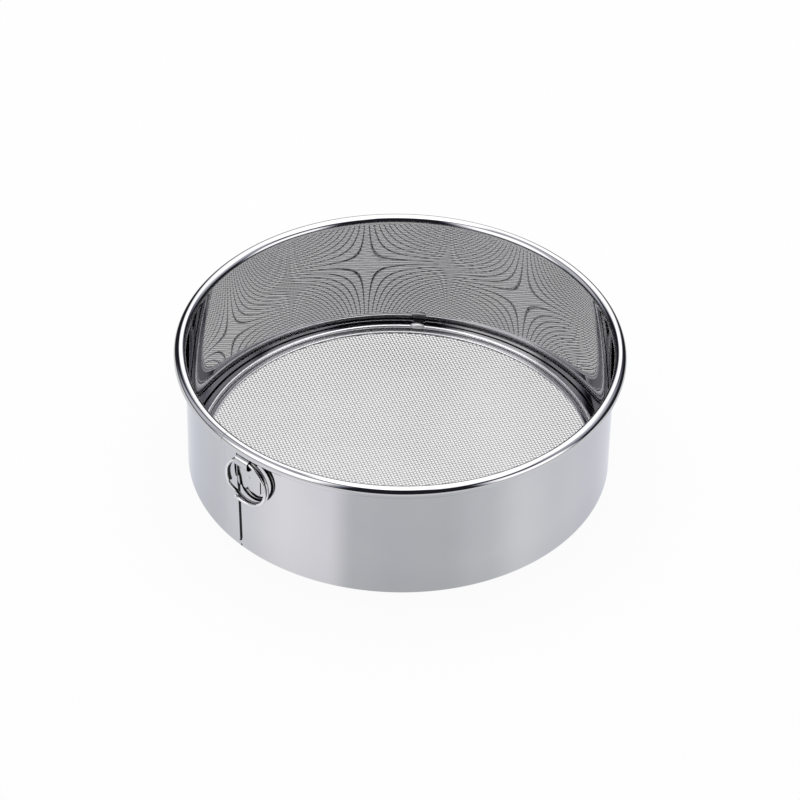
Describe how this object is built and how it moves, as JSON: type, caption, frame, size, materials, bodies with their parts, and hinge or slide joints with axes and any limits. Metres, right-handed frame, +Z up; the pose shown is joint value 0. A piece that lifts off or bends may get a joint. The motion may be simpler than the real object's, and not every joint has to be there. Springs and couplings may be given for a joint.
{
  "type": "drum sieve",
  "caption": "Round drum sieve of bright stainless sheet with a rolled rim, a flat woven wire floor held by rings, and a split ring in an eye to hang it by.",
  "frame": {"origin": "on the drum's axis, in the plane that it stands on", "axes": "+Z up along the drum's axis; -Y towards the hanger tab and its ring; +X to the right seen from the hanger"},
  "size_m": [0.22, 0.22, 0.0685],
  "materials": {
    "bright_sheet": "bright polished stainless sheet",
    "tab_sheet": "bright stainless sheet, spot-welded",
    "core_wire": "plain drawn wire, hidden in the rim",
    "woven_wire": "plain-woven drawn stainless wire",
    "bright_wire": "bright drawn wire, butt-welded",
    "ring_wire": "bright nickel-like plated spring wire"
  },
  "bodies": {
    "drum": {"drum_band": "bright_sheet", "rim_wire": "core_wire", "sieve_mesh": "woven_wire", "clamp_ring": "bright_sheet", "retaining_ring": "bright_wire", "hanger_tab": "tab_sheet"},
    "ring": {"hanging_ring": "ring_wire"}
  },
  "joints": [
    {"name": "ring_swing", "type": "hinge", "parent": "drum", "child": "ring", "pos_m": [-0.0006, -0.10696, 0.0587], "axis": [-1, 0, 0], "range_deg": [-1, 130]}
  ]
}
